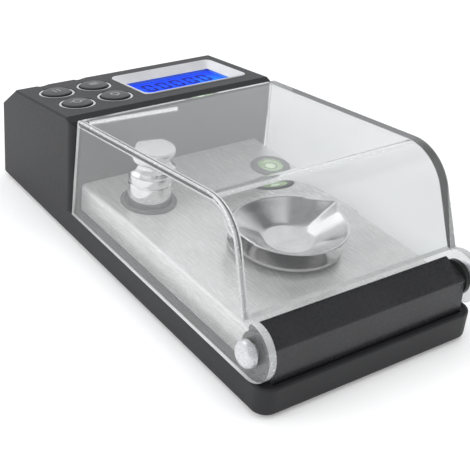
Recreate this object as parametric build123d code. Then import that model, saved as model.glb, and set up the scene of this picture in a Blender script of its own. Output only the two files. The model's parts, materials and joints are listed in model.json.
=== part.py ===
from build123d import *
import math
import os

# A digital precision scale that stands on a table. Millimetres, +Z up.
# The front, where the user reads the display, is at -Y. The clear cover hinges at +Y.
# The origin is at the middle of the footprint, on the table.

# Overall form
body_length = 147.2
body_width = 75.0
foot_height = 1.0
plinth_height = 8.7
head_length = 48.0
shell_wall = 2.0
hinge_end_radius = 4.5
user_end_radius = 2.0
least_radius = 0.3
fit_gap = 0.1
seat_gap = 0.05
overshoot = 1.0

# Display panel and its chamfered ends
panel_start = 10.4
panel_start_z = 34.9
panel_end_inset = 4.0
panel_end_z = 40.0
end_face_z = 26.0
head_brow = 2.7
head_brow_drop = 0.8
head_corner_radius = 2.6
panel_edge_radius = 0.7

# Display, whose width is what the keys leave of the panel
bezel_side_inset = 4.25
bezel_key_gap = 2.65
bezel_margin_v = 5.2
bezel_corner = 2.4
bezel_proud = 0.35
bezel_depth = 3.0
funnel_depth = 1.5
funnel_run_x = 3.55
funnel_run_v = 4.8
window_margin = 1.0
window_thickness = 0.8
glass_margin = 2.2
glass_thickness = 2.2
backlight_margin = 1.2

# Keys, which are round and crowned, each in a well with a sunk chrome ring.
# The two rows are a little below the panel's middle
key_side_inset = 9.6
key_pitch_x = 13.3
key_pitch_v = 13.6
key_rows_drop = 0.3
key_radius = 4.55
key_ring_radius = 5.7
key_ring_drop = 0.3
key_ring_crest = 0.25
key_gap = 0.25
key_proud = 0.85
key_crown_rise = 0.35
key_edge = 0.3
key_flange = 0.6
key_flange_thickness = 1.0
key_flange_drop = 0.15
key_stem_width = 4.0
key_stem_bottom = 4.2
key_travel = 0.8
notch_width = 4.2
notch_depth = 1.0
notch_length = 2.8

# Circuit board and key mat, as depths under the display panel
board_depth = 8.5
board_thickness = 1.6
board_side_gap = 1.5
board_start_v = 0.2
board_end_gap = 0.4
board_post_radius = 1.75
board_post_inset = 3.0
board_post_inset_v = 1.75
board_screw_radius = 0.8
board_screw_reach = 3.0
mat_sheet = 1.2
mat_margin = 6.0
mat_post_gap = 0.2
dome_radius = 3.2
dome_top_radius = 2.2
chip_sides = (12.0, 8.0, 9.0)
chip_x = (-20.0, 4.0, 22.0)
chip_length = 6.0
chip_thickness = 1.6
plug_thickness = 4.5

# Raised deck of folded stainless steel
deck_side_inset = 5.0
deck_z = 18.6
deck_sheet = 0.8
deck_fold_radius = 1.6
block_wall = 2.0

# Hinge bar behind the deck and the cover's pins, as distances from the hinge end
bar_start_inset = 12.0
bar_top_inset = 11.2
bar_top_z = 22.8
bar_brow_inset = 2.7
bar_brow_z = 19.7
bar_foot_inset = 2.3
bar_side_inset = 4.0
bar_deck_gap = 0.6
bar_wall = 2.0
bar_end_wall = 5.0
bar_edge_radius = 0.5
pin_inset = 7.2
pin_z = 17.8
pin_radius = 2.0
pin_fit = 0.06
pin_grip = 0.02
pin_head_radius = 3.8
pin_head_height = 2.4
pin_head_round = 1.7
pin_head_gap = 0.15
spacer_radius = 5.2
spacer_gap = 0.15
groove_width = 0.9
groove_depth = 0.8
groove_inset = 1.5
plinth_edge_radius = 0.8
plinth_foot_radius = 1.2

# Clear draft cover
cover_overhang = 0.5
cover_wall = 2.2
cover_draft = 0.05
cover_head_gap = 1.5
cover_start_z = 41.0
cover_slope = 8.0
cover_lean = 21.4
cover_bend_radius = 14.0
cover_foot_inset = 11.2
cover_foot_z = 24.5
cover_ledge_gap = 0.2
cover_edge_radius = 0.6

# Weighing platform and pan
platform_end_inset = 41.2
platform_radius = 15.4
platform_thickness = 0.9
platform_rise = 1.2
platform_rim_height = 1.5
platform_rim_wall = 0.7
platform_travel = 0.4
stem_radius = 3.5
stem_hole_radius = 5.5
stem_flange_radius = 4.6
stem_flange_thickness = 1.6
pan_base_radius = 7.5
pan_rim_radius = 16.8
pan_height = 6.0
pan_wall = 0.5
pan_lip = 0.5
pan_lip_thickness = 0.2
spout_angle = 190.0
spout_reach = 20.6
spout_root = 11.0
spout_root_radius = 4.4
spout_tip_radius = 0.8

# Calibration weight in its rubber seat
weight_deck_inset = 12.9
weight_head_gap = 17.8
weight_radius = 6.5
weight_body_height = 11.0
weight_groove_height = 7.9
weight_groove_depth = 0.35
weight_shoulder = 1.6
weight_neck_radius = 4.6
weight_neck_height = 2.7
weight_knob_radius = 6.1
weight_knob_height = 1.5
weight_bevel = 0.4
seat_flange_radius = 8.5
seat_flange_thickness = 0.8
seat_neck_radius = 7.7
seat_depth = 2.6
seat_floor = 1.0
weight_gap = 0.25

# Round bubble level
level_deck_inset = 8.3
level_head_gap = 18.8
level_radius = 6.4
level_flange_width = 0.9
level_flange_thickness = 0.7
level_bore_radius = 4.2
level_depth = 5.0
level_floor = 1.0
level_lens_thickness = 1.0

# Load cell under the deck
cell_head_gap = 12.0
cell_reach = 7.0
cell_width = 10.0
cell_height = 8.0
cell_pad_height = 3.2
cell_pad_length = 16.0
cell_hole_radius = 3.2
cell_hole_pitch = 10.0
cell_slot_height = 2.0
cell_screw_radius = 1.5
cell_screw_head_radius = 2.8
cell_screw_head_height = 1.4
cell_screw_pitch = 9.0
cell_screw_tip_gap = 2.0

# Base plate, feet and case screws
base_thickness = 2.4
base_gap = 0.15
foot_radius = 2.6
foot_recess = 0.6
foot_inset_end = 10.0
boss_radius = 3.2
boss_inset_x = 4.8
boss_head_inset = 5.5
boss_hinge_inset = 20.2
boss_head_z = 16.0
screw_radius = 1.2
screw_hole_gap = 0.15
screw_head_radius = 2.3
screw_head_height = 1.1
screw_length = 8.0
screw_tip_gap = 1.0
screw_cross_span = 1.3
screw_cross_width = 0.3
case_screw_reach = 3.6
bar_screw_inset = 13.5
bar_screw_boss = 3.0

# Battery bay with two AAA cells side by side
battery_diameter = 10.5
battery_length = 44.5
battery_cap_radius = 1.9
battery_cap_length = 0.8
battery_edge = 0.5
battery_pitch = 11.8
bay_first = 13.0
bay_margin = 1.0
bay_wall = 1.2
battery_lift = 0.6
contact_room = 3.25
contact_sheet = 0.4
contact_height = 8.0
contact_width = 8.5
door_thickness = 1.6
door_tongue = 1.0
door_tongue_thickness = 0.8
door_gap = 0.15
door_rib_count = 4
door_rib_width = 1.0
door_rib_depth = 0.4
door_rib_pitch = 2.4
cable_slot_width = 12.0
cable_slot_height = 4.0

# Heights worked out from the sizes above
ledge_z = foot_height + plinth_height
ledge_under = ledge_z - shell_wall
base_top = foot_height + base_thickness
deck_under = deck_z - deck_sheet
cover_bottom_z = ledge_z + cover_ledge_gap
lug_radius = pin_z - cover_bottom_z
cell_bottom = base_top + cell_pad_height
cell_top = cell_bottom + cell_height
weight_base_z = deck_z + seat_flange_thickness - seat_depth + seat_floor
pan_base_z = deck_z + platform_rise + platform_thickness + seat_gap
battery_z = base_top + battery_lift + battery_diameter / 2

# The display panel, and what is spaced along its slope
panel_end = head_length - panel_end_inset
panel_length = math.hypot(panel_end - panel_start, panel_end_z - panel_start_z)
panel_angle = math.degrees(math.asin((panel_end_z - panel_start_z) / panel_length))
bezel_center_v = panel_length / 2
bezel_height = panel_length - 2 * bezel_margin_v
window_height = bezel_height - 2 * funnel_run_v
key_row_v = (panel_length - key_pitch_v) / 2 - key_rows_drop
board_end_v = panel_length - board_end_gap
board_post_start_v = board_start_v + board_post_inset_v
board_post_end_v = board_end_v - board_post_inset_v

# Widths and places across the body, tied to its sides
half_width = body_width / 2
deck_half_width = half_width - deck_side_inset
block_half_width = deck_half_width - deck_sheet - fit_gap
bar_half_length = half_width - bar_side_inset
bar_screw_x = bar_half_length - bar_screw_inset
cover_half_width = half_width + cover_overhang
weight_x = deck_half_width - weight_deck_inset
level_x = level_deck_inset - deck_half_width
key_column_x = half_width - key_side_inset - key_pitch_x
bezel_start_x = bezel_side_inset - half_width
bezel_width = key_column_x - key_ring_radius - bezel_key_gap - bezel_start_x
bezel_center_x = bezel_start_x + bezel_width / 2
window_width = bezel_width - 2 * funnel_run_x
board_half_width = half_width - shell_wall - board_side_gap
board_post_x = board_half_width - board_post_inset
bay_half_width = battery_length / 2 + contact_room
door_half_width = bay_half_width - bay_wall

# The feet are halfway between the battery door's way and the base plate's edge
door_way_half = door_half_width + door_tongue + door_gap
base_half_width = half_width - shell_wall - base_gap
foot_x = (door_way_half + base_half_width) / 2

# Distances from the user end, tied to the head or to the hinge end
cover_start = head_length + cover_head_gap
weight_distance = head_length + weight_head_gap
level_distance = head_length + level_head_gap
cell_start = head_length + cell_head_gap
boss_head_distance = head_length - boss_head_inset
boss_hinge_distance = body_length - boss_hinge_inset
platform_distance = body_length - platform_end_inset
cell_end = platform_distance + cell_reach
bar_start = body_length - bar_start_inset
bar_top = body_length - bar_top_inset
bar_brow = body_length - bar_brow_inset
bar_foot = body_length - bar_foot_inset
deck_end = bar_start - bar_deck_gap
pin_distance = body_length - pin_inset
cover_foot = body_length - cover_foot_inset
bay_end = bay_first + battery_pitch + battery_diameter / 2 + bay_margin
bay_start = bay_first - battery_diameter / 2 - bay_margin
bay_top = battery_z + battery_diameter / 2 + bay_margin
big = 3 * body_length


def y_at(distance):
    """The Y of a place so far from the user end."""
    return distance - body_length / 2


def side_face(points):
    """A face in the YZ plane from (distance, height) points."""
    corners = [(0, y_at(d), z) for d, z in points]
    return make_face(Polyline(*corners, close=True))


def block(x_from, x_to, d_from, d_to, z_from, z_to):
    """A box between two places."""
    center = ((x_from + x_to) / 2, y_at((d_from + d_to) / 2), (z_from + z_to) / 2)
    return Pos(*center) * Box(x_to - x_from, d_to - d_from, z_to - z_from)


def rod(x, distance, z_from, z_to, radius):
    """An upright round bar."""
    return Pos(x, y_at(distance), (z_from + z_to) / 2) * Cylinder(radius, z_to - z_from)


def turned(points, x, distance):
    """A round piece turned about an upright axis, from (radius, height) points."""
    profile = make_face(Polyline(*[(r, 0, z) for r, z in points], close=True))
    return Pos(x, y_at(distance), 0) * revolve(profile, Axis.Z)


panel = Plane(
    origin=(0, y_at(panel_start), panel_start_z),
    x_dir=(1, 0, 0),
    z_dir=(0, -math.sin(math.radians(panel_angle)), math.cos(math.radians(panel_angle))),
)


def on_panel(shape, x, v, depth=0.0):
    """A shape set on the display panel: v runs up the slope, depth goes under it."""
    return panel * Pos(x, v, -depth) * shape


def plan(inset, hinge_radius, user_radius):
    """The rounded outline of the body seen from above."""
    half = half_width - inset
    end = body_length / 2 - inset
    outline = make_face(
        Polyline((-half, -end), (half, -end), (half, end), (-half, end), close=True)
    )
    corners = outline.vertices().sort_by(Axis.Y)
    outline = fillet(corners[:2], max(user_radius - inset, least_radius))
    corners = outline.vertices().sort_by(Axis.Y)
    return fillet(corners[-2:], max(hinge_radius - inset, least_radius))


def body_plan(inset=0.0):
    """The body's own outline, or one so far inside it."""
    return plan(inset, hinge_end_radius, user_end_radius)


def key_places():
    """The four keys' places on the panel, by name."""
    right = key_column_x + key_pitch_x
    upper = key_row_v + key_pitch_v
    return {
        "key_power": (key_column_x, upper),
        "key_tare": (right, upper),
        "key_units": (key_column_x, key_row_v),
        "key_count": (right, key_row_v),
    }


def board_posts():
    return [
        (x, v)
        for x in (-board_post_x, board_post_x)
        for v in (board_post_start_v, board_post_end_v)
    ]


def case_screw_places():
    x = half_width - boss_inset_x
    return [
        (side * x, distance)
        for side in (-1, 1)
        for distance in (boss_head_distance, boss_hinge_distance)
    ]


def head_points(low):
    """The head's outline seen from the side."""
    brow_end = panel_end + head_brow
    brow_z = panel_end_z - head_brow_drop
    return [
        (0, low),
        (0, end_face_z),
        (panel_start, panel_start_z),
        (panel_end, panel_end_z),
        (brow_end, brow_z),
        (head_length, brow_z - (head_length - brow_end)),
        (head_length, low),
    ]


def head_solid():
    """The head block, with its upright corners beside the cover rounded."""
    head = extrude(side_face(head_points(foot_height)), half_width, both=True)
    head = fillet(head.edges().filter_by(Axis.Z).group_by(Axis.Y)[-1], head_corner_radius)
    top = [
        edge
        for edge in head.edges()
        if edge.center().Z > end_face_z + 1 and abs(edge.center().X) > half_width - least_radius
    ]
    return fillet(top, panel_edge_radius)


def head_cavity():
    """The hollow of the head, open at the bottom."""
    outline = offset(side_face(head_points(-big)), -shell_wall)
    hollow = extrude(outline, half_width - shell_wall, both=True)
    return hollow & extrude(body_plan(shell_wall), big, both=True)


def upper_housing():
    """The black moulded housing: plinth, display head and the block under the deck."""
    plinth = Pos(0, 0, foot_height) * extrude(body_plan(), plinth_height)
    plinth = fillet(plinth.faces().sort_by(Axis.Z)[-1].edges(), plinth_edge_radius)
    partition = head_length - shell_wall
    block_end = deck_end - deck_sheet
    body = (head_solid() & extrude(body_plan(), big)) + plinth
    body = fillet(body.faces().sort_by(Axis.Z)[0].edges(), plinth_foot_radius)
    body += block(
        -block_half_width, block_half_width, partition, block_end, foot_height, deck_under
    )
    body -= head_cavity()
    wall = block(-half_width, half_width, partition, head_length, 0, ledge_z)
    body -= extrude(body_plan(shell_wall), ledge_under) - wall
    half = block_half_width - block_wall
    body -= block(-half, half, head_length, block_end - block_wall, 0, deck_under - block_wall)
    for x, distance in case_screw_places():
        top = boss_head_z if distance < head_length else ledge_z - seat_gap
        body += rod(x, distance, base_top, top, boss_radius)
        body -= rod(x, distance, 0, base_top + case_screw_reach + screw_tip_gap, screw_radius)
    for x, v in board_posts():
        depth = board_screw_reach + screw_tip_gap
        post = Pos(0, 0, -board_depth / 2) * Cylinder(board_post_radius, board_depth)
        hole = Pos(0, 0, depth / 2 - board_depth) * Cylinder(board_screw_radius, depth)
        body += on_panel(post, x, v) & head_solid()
        body -= on_panel(hole, x, v)
    body -= panel_cuts()
    body -= deck_holes()
    half = cable_slot_width / 2
    top = base_top + cable_slot_height
    body -= block(-half, half, partition - overshoot, head_length + block_wall, base_top, top)
    for side in (-1, 1):
        low, high = ledge_under - overshoot, ledge_z + overshoot
        body -= rod(side * bar_screw_x, pin_distance, low, high, screw_radius + screw_hole_gap)
    body -= groove_cut()
    body -= door_cut()
    return body - extrude(body_plan(shell_wall), base_top + seat_gap)


def panel_cuts():
    """The holes in the display panel for the bezel and the keys, and its two notches."""
    width = bezel_width + 2 * fit_gap
    height = bezel_height + 2 * fit_gap
    opening = RectangleRounded(width, height, bezel_corner + fit_gap)
    cuts = on_panel(extrude(opening, board_depth / 2, both=True), bezel_center_x, bezel_center_v)
    for x, v in key_places().values():
        cuts += on_panel(Cylinder(key_ring_radius + seat_gap, board_depth), x, v)
    for x in (key_column_x, key_column_x + key_pitch_x):
        cuts += v_notch(x)
    return cuts


def deck_holes():
    """The holes for the platform's stem, the weight's seat and the level."""
    low = deck_under - block_wall - overshoot
    high = deck_z + overshoot
    level_hole = level_radius - level_flange_width + fit_gap
    holes = rod(0, platform_distance, low, high, stem_hole_radius)
    holes += rod(weight_x, weight_distance, low, high, seat_neck_radius + fit_gap)
    low = deck_z + level_flange_thickness - level_depth - fit_gap
    holes += rod(level_x, level_distance, low, high, level_hole)
    return holes


def v_notch(x):
    """A small V-shaped dip in the user-side edge of the panel, in line with a key column."""
    half = notch_width / 2
    mouth = Polyline((-half, 0), (half, 0), (0, -notch_depth), close=True)
    face = Plane.XZ * make_face(mouth)
    wedge = extrude(face, notch_depth) + loft([face, Pos(0, notch_length, 0) * Vertex(0, 0, 0)])
    return on_panel(wedge, x, 0)


def groove_cut():
    """The thin groove in the ledge between the hinge bar and the plinth's edge."""
    start = body_length - groove_inset - groove_width
    half = bar_half_length
    end = start + groove_width
    return block(-half, half, start, end, ledge_z - groove_depth, ledge_z + overshoot)


def door_cut():
    """The way that the battery door slides in and out, through the user end."""
    top = foot_height + door_thickness + door_gap
    end = shell_wall + overshoot
    return block(-door_way_half, door_way_half, -overshoot, end, 0, top)


def base_plate():
    """The bottom cover, with the battery bay and the pad for the load cell."""
    plate = Pos(0, 0, foot_height) * extrude(body_plan(shell_wall + base_gap), base_thickness)
    half = bay_half_width + bay_wall
    start = bay_start - bay_wall
    plate += block(-half, half, start, bay_end + bay_wall, foot_height, bay_top + bay_wall)
    plate -= block(-bay_half_width, bay_half_width, bay_start, bay_end, base_top, bay_top)
    half = door_half_width - 2 * door_gap
    end = bay_end - 2 * bay_margin
    plate -= block(-half, half, bay_start, end, 0, base_top + overshoot)
    end = bay_end - bay_margin + door_gap
    slide_top = foot_height + door_thickness + door_gap
    lip_top = foot_height + door_thickness - door_tongue_thickness - door_gap
    half = door_half_width + door_gap
    plate -= block(-half, half, 0, end, 0, slide_top)
    plate -= block(-door_way_half, door_way_half, 0, end, lip_top, slide_top)
    half = cell_width / 2
    pad_end = cell_start + cell_pad_length
    plate += block(-half, half, cell_start, pad_end, foot_height, cell_bottom)
    for x, distance in foot_places():
        plate -= rod(x, distance, 0, foot_height + foot_recess, foot_radius + fit_gap)
    for x, distance in case_screw_places():
        plate -= rod(x, distance, 0, base_top + overshoot, screw_radius + screw_hole_gap)
        head_top = foot_height + screw_head_height
        plate -= rod(x, distance, 0, head_top, screw_head_radius + fit_gap)
    for distance in cell_screw_distances():
        plate -= rod(0, distance, 0, cell_bottom + overshoot, cell_screw_radius + screw_hole_gap)
        head_top = foot_height + cell_screw_head_height
        plate -= rod(0, distance, 0, head_top, cell_screw_head_radius + fit_gap)
    return plate


def foot_places():
    ends = (foot_inset_end, body_length - foot_inset_end)
    return [(side * foot_x, distance) for side in (-1, 1) for distance in ends]


def rubber_feet():
    foot = Cylinder(foot_radius, foot_height + foot_recess)
    foot = chamfer(foot.faces().sort_by(Axis.Z)[0].edges(), foot_height / 2)
    return [
        Pos(x, y_at(distance), (foot_height + foot_recess) / 2) * foot
        for x, distance in foot_places()
    ]


def screw(head_z, length, radius, head_radius, head_height):
    """A pan-head screw that points up, with a cross recess."""
    body = Pos(0, 0, head_z + head_height / 2) * Cylinder(head_radius, head_height)
    body += Pos(0, 0, head_z + (head_height + length) / 2) * Cylinder(radius, head_height + length)
    for turn in (0, 90):
        length_across = screw_cross_span * head_radius
        slot = Box(length_across, screw_cross_width * head_radius, head_height)
        body -= Pos(0, 0, head_z) * Rot(0, 0, turn) * slot
    return body


def case_screws():
    piece = screw(
        foot_height + seat_gap,
        case_screw_reach + base_thickness - screw_head_height,
        screw_radius - seat_gap,
        screw_head_radius,
        screw_head_height - seat_gap,
    )
    return [Pos(x, y_at(distance), 0) * piece for x, distance in case_screw_places()]


def bar_points():
    """The hinge bar's outline seen from the side."""
    return [
        (bar_start, ledge_z),
        (bar_start, bar_top_z - (bar_top - bar_start)),
        (bar_top, bar_top_z),
        (bar_brow, bar_brow_z),
        (bar_foot, ledge_z),
    ]


def across(radius, x_from, x_to):
    """A round bar along the hinge axis."""
    bar = Rot(0, 90, 0) * Cylinder(radius, abs(x_to - x_from))
    return Pos((x_from + x_to) / 2, y_at(pin_distance), pin_z) * bar


def hinge_bar():
    """The black bar that carries the cover's two pins, hollow from below."""
    outer = extrude(side_face(bar_points()), bar_half_length, both=True)
    long_edges = outer.edges().filter_by(Axis.X)
    bar = fillet([edge for edge in long_edges if edge.center().Z > ledge_z + bar_wall], bar_edge_radius)
    hollow = offset(side_face(bar_points()), -bar_wall)
    bar -= extrude(hollow, bar_half_length - bar_end_wall, both=True)
    half = bar_half_length - bar_end_wall
    high = ledge_z + bar_wall + overshoot
    bar -= block(-half, half, bar_start + bar_wall, bar_foot - bar_wall, 0, high)
    for side in (-1, 1):
        x = side * bar_screw_x
        bar += rod(x, pin_distance, ledge_z, bar_top_z, bar_screw_boss) & outer
        bar -= rod(x, pin_distance, 0, ledge_z + screw_length, screw_radius)
        inner = side * (bar_half_length - bar_end_wall)
        bar -= across(pin_radius + pin_grip, inner, side * (bar_half_length + overshoot))
    return bar


def hinge_bar_screws():
    piece = screw(
        ledge_under - screw_head_height - seat_gap,
        shell_wall + screw_length - screw_tip_gap,
        screw_radius - seat_gap,
        screw_head_radius,
        screw_head_height,
    )
    return [Pos(side * bar_screw_x, y_at(pin_distance), 0) * piece for side in (-1, 1)]


def hinge_pin(side):
    """A domed silver pin pressed into the end of the hinge bar."""
    start = bar_half_length - bar_end_wall + seat_gap
    face = cover_side(pin_z - pin_head_radius) + pin_head_gap
    shank = across(pin_radius, start, face)
    head = across(pin_head_radius, face, face + pin_head_height)
    head = fillet(head.faces().sort_by(Axis.X)[-1].edges(), pin_head_round)
    pin = shank + head
    return pin if side > 0 else mirror(pin, Plane.YZ)


def hinge_spacers():
    """Two black rings between the bar's ends and the cover's lugs."""
    start = bar_half_length + seat_gap
    face = cover_side(pin_z + spacer_radius, cover_wall) - spacer_gap
    ring = across(spacer_radius, start, face)
    ring -= across(pin_radius + pin_grip, start - overshoot, cover_half_width)
    return [ring, mirror(ring, Plane.YZ)]


def cover_outline():
    """The space under the cover seen from the side, with its back end further back."""
    slope = math.tan(math.radians(cover_slope))
    lean = math.tan(math.radians(cover_lean))
    back = head_length - 2 * cover_wall
    back_z = cover_start_z - slope * (cover_start - back)
    low_z = cover_foot_z - 2 * cover_wall
    low = cover_foot + lean * (cover_foot_z - low_z)
    reach = (cover_foot + lean * (cover_foot_z - cover_start_z) - cover_start) / (1 + lean * slope)
    corner = (cover_start + reach, cover_start_z + slope * reach)
    points = [(back, low_z), (back, back_z), corner, (low, low_z)]
    face = side_face(points)
    bend = face.vertices().sort_by(Axis.Z)[-1]
    return fillet(bend, cover_bend_radius), points


def cover_side(height, inset=0.0):
    """The cover's half width at a height, or that of a space so far inside it."""
    return cover_half_width - inset - cover_draft * (height - cover_bottom_z)


def between_sides(inset):
    """All the room between the cover's side walls, which lean in toward the top."""
    high = 2 * cover_start_z
    low_half, high_half = cover_side(0, inset), cover_side(high, inset)
    points = [(-low_half, 0), (low_half, 0), (high_half, high), (-high_half, high)]
    return extrude(Plane.XZ * make_face(Polyline(*points, close=True)), big, both=True)


def draft_cover():
    """The clear cover: a sloping top that bends into the leaning wall, two cheeks and lugs."""
    outer, points = cover_outline()
    room = between_sides(cover_wall)
    cover = extrude(outer, big, both=True) & between_sides(0)
    rims = [edge for edge in cover.edges() if abs(edge.center().X) > cover_wall]
    rims = [edge for edge in rims if edge.center().Z > cover_foot_z]
    rims = [edge for edge in rims if edge.center().Y > y_at(head_length)]
    cover = fillet(rims, cover_edge_radius)
    cover -= extrude(offset(outer, -cover_wall), big, both=True) & room
    cover -= block(-big, big, 0, big, 0, cover_foot_z)
    low, low_z = points[-1]
    flank = [
        (cover_start, cover_bottom_z),
        (cover_start, cover_foot_z),
        (cover_foot, cover_foot_z),
        (low, low_z),
        (pin_distance, pin_z),
        (pin_distance, cover_bottom_z),
    ]
    cheeks = extrude(side_face(flank), cover_half_width, both=True)
    cheeks += across(lug_radius, -cover_half_width, cover_half_width)
    cover += (cheeks & between_sides(0)) - room
    cover -= block(-big, big, -big, cover_start, 0, big)
    for side in (-1, 1):
        start = side * bar_half_length
        cover -= across(pin_radius + pin_fit, start, side * (cover_half_width + overshoot))
    return cover


def deck_plate():
    """The stainless deck, a sheet folded down at both sides and at the hinge end."""
    start, end = head_length + seat_gap, deck_end
    outer = block(-deck_half_width, deck_half_width, start, end, ledge_z + seat_gap, deck_z)
    folds = outer.edges().filter_by(Axis.Y).group_by(Axis.Z)[-1]
    end_fold = outer.edges().filter_by(Axis.X).group_by(Axis.Z)[-1].sort_by(Axis.Y)[-1]
    outer = fillet(folds + [end_fold], deck_fold_radius)
    half = block_half_width + fit_gap
    deck = outer - block(-half, half, 0, deck_end - deck_sheet, 0, deck_under)
    return deck - deck_holes()


def load_platform():
    """The round steel tray that carries the pan, on a stem over the load cell."""
    low = deck_z + platform_rise
    top = low + platform_thickness
    foot = cell_top + platform_travel + 2 * seat_gap
    inner = platform_radius - platform_rim_wall
    points = [
        (0, foot),
        (stem_flange_radius, foot),
        (stem_flange_radius, foot + stem_flange_thickness),
        (stem_radius, foot + stem_flange_thickness),
        (stem_radius, low),
        (platform_radius - platform_rim_wall, low),
        (platform_radius, low + platform_rim_wall),
        (platform_radius, low + platform_rim_height),
        (inner, low + platform_rim_height),
        (inner, top),
        (0, top),
    ]
    return turned(points, 0, platform_distance)


def spout_cone(extra):
    """The spout's cone, whose lower half lies under the plane of the pan's rim."""
    length = spout_reach - spout_root
    cone = Cone(spout_root_radius + extra, spout_tip_radius + extra, length)
    return Pos(spout_root + length / 2, 0, 0) * Rot(0, 90, 0) * cone


def weighing_pan():
    """A spun bowl with a flat base, a small lip and one pinched spout."""
    wall_height = pan_height - 2 * pan_lip_thickness
    flare = (pan_rim_radius - pan_lip - pan_base_radius) / wall_height
    outside = [
        (0, 0),
        (pan_base_radius, 0),
        (pan_rim_radius - pan_lip, pan_height - 2 * pan_lip_thickness),
        (pan_rim_radius, pan_height - pan_lip_thickness),
        (pan_rim_radius, pan_height),
        (0, pan_height),
    ]
    lean = math.hypot(1, flare)
    bowl_radius = pan_rim_radius - pan_lip - pan_wall * lean
    inside = [
        (0, pan_wall),
        (pan_base_radius - pan_wall * (lean - flare), pan_wall),
        (bowl_radius, pan_height),
        (0, pan_height),
    ]
    outer = revolve(make_face(Polyline(*[(r, 0, z) for r, z in outside], close=True)), Axis.Z)
    inner = revolve(make_face(Polyline(*[(r, 0, z) for r, z in inside], close=True)), Axis.Z)
    inner += Pos(0, 0, pan_height) * extrude(Circle(bowl_radius), pan_height)
    turn = Rot(0, 0, spout_angle)
    outer += turn * Pos(0, 0, pan_height) * spout_cone(pan_wall)
    outer &= Pos(0, 0, pan_height / 2) * Box(big, big, pan_height)
    inner += turn * Pos(0, 0, pan_height) * spout_cone(0)
    pan = outer - inner
    pan = max(pan.solids(), key=lambda solid: solid.volume)
    return Pos(0, y_at(platform_distance), pan_base_z) * pan


def calibration_weight():
    """The turned and plated weight with a waist and a knob."""
    body_top = weight_base_z + seat_gap + weight_body_height
    neck_start = body_top + weight_shoulder
    neck_end = neck_start + weight_neck_height
    top = neck_end + weight_knob_height
    low = weight_base_z + seat_gap
    groove = low + weight_groove_height
    points = [
        (0, low),
        (weight_radius - weight_bevel, low),
        (weight_radius, low + weight_bevel),
        (weight_radius, groove - weight_groove_depth),
        (weight_radius - weight_groove_depth, groove),
        (weight_radius, groove + weight_groove_depth),
        (weight_radius, body_top),
        (weight_radius - weight_bevel, body_top + weight_bevel),
        (weight_neck_radius + weight_bevel, neck_start - weight_bevel),
        (weight_neck_radius, neck_start),
        (weight_neck_radius, neck_end - weight_shoulder / 2),
        (weight_knob_radius - weight_bevel, neck_end),
        (weight_knob_radius, neck_end + weight_bevel),
        (weight_knob_radius, top - weight_bevel),
        (weight_knob_radius - weight_bevel, top),
        (0, top),
    ]
    return turned(points, weight_x, weight_distance)


def weight_seat():
    """The rubber cup in the deck that holds the weight."""
    top = deck_z + seat_flange_thickness
    bore = weight_radius + weight_gap
    low = top - seat_depth
    points = [
        (0, low),
        (seat_neck_radius, low),
        (seat_neck_radius, deck_z),
        (seat_flange_radius, deck_z),
        (seat_flange_radius, top - seat_flange_thickness / 2),
        (seat_flange_radius - seat_flange_thickness, top),
        (bore + seat_flange_thickness / 2, top),
        (bore, top - seat_flange_thickness / 2),
        (bore, low + seat_floor),
        (0, low + seat_floor),
    ]
    return turned(points, weight_x, weight_distance)


def level_body():
    """The grey cup of the round level, with a thin flange on the deck."""
    top = deck_z + level_flange_thickness
    neck = level_radius - level_flange_width
    low = top - level_depth
    points = [
        (0, low),
        (neck, low),
        (neck, deck_z),
        (level_radius, deck_z),
        (level_radius, top - level_flange_thickness / 2),
        (level_radius - level_flange_thickness / 2, top),
        (level_bore_radius, top),
        (level_bore_radius, low + level_floor),
        (0, low + level_floor),
    ]
    return turned(points, level_x, level_distance)


def level_liquid():
    low = deck_z + level_flange_thickness - level_depth + level_floor
    high = deck_z + level_flange_thickness - level_lens_thickness
    return rod(level_x, level_distance, low, high - seat_gap, level_bore_radius - seat_gap)


def level_lens():
    high = deck_z + level_flange_thickness
    low = high - level_lens_thickness
    return rod(level_x, level_distance, low, high, level_bore_radius - seat_gap)


def framed(width, height, corner, depth):
    """A rounded plate that hangs down from the panel's plane."""
    return Pos(0, 0, -depth) * extrude(RectangleRounded(width, height, corner), depth)


def lcd_bezel():
    """The silver frame whose four sides slope down to the display."""
    frame = framed(bezel_width, bezel_height, bezel_corner, bezel_depth + bezel_proud)
    frame = Pos(0, 0, bezel_proud) * frame
    frame = chamfer(frame.faces().sort_by(Axis.Z)[-1].edges(), bezel_proud / 2)
    rim = 2 * bezel_proud
    mouth = RectangleRounded(bezel_width - rim, bezel_height - rim, bezel_corner)
    throat = RectangleRounded(window_width, window_height, panel_edge_radius)
    mouth = Pos(0, 0, bezel_proud) * mouth
    throat = Pos(0, 0, -funnel_depth) * throat
    frame -= loft([mouth.face(), throat.face()])
    frame -= Pos(0, 0, -bezel_depth) * extrude(Rectangle(window_width, window_height), bezel_depth)
    pocket = Rectangle(window_width + 2 * window_margin, window_height + 2 * window_margin)
    frame -= Pos(0, 0, -bezel_depth) * extrude(pocket, bezel_depth - funnel_depth - seat_gap)
    return on_panel(frame, bezel_center_x, bezel_center_v)


def lcd_window():
    width = window_width + 2 * window_margin - 2 * seat_gap
    height = window_height + 2 * window_margin - 2 * seat_gap
    depth = funnel_depth + 2 * seat_gap + window_thickness / 2
    plate = Box(width, height, window_thickness)
    return on_panel(plate, bezel_center_x, bezel_center_v, depth)


def glass_size():
    return window_width + 2 * glass_margin, window_height + 2 * glass_margin


def glass_top():
    return bezel_depth + seat_gap


def lcd_glass():
    width, height = glass_size()
    plate = Box(width, height, glass_thickness)
    return on_panel(plate, bezel_center_x, bezel_center_v, glass_top() + glass_thickness / 2)


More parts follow.
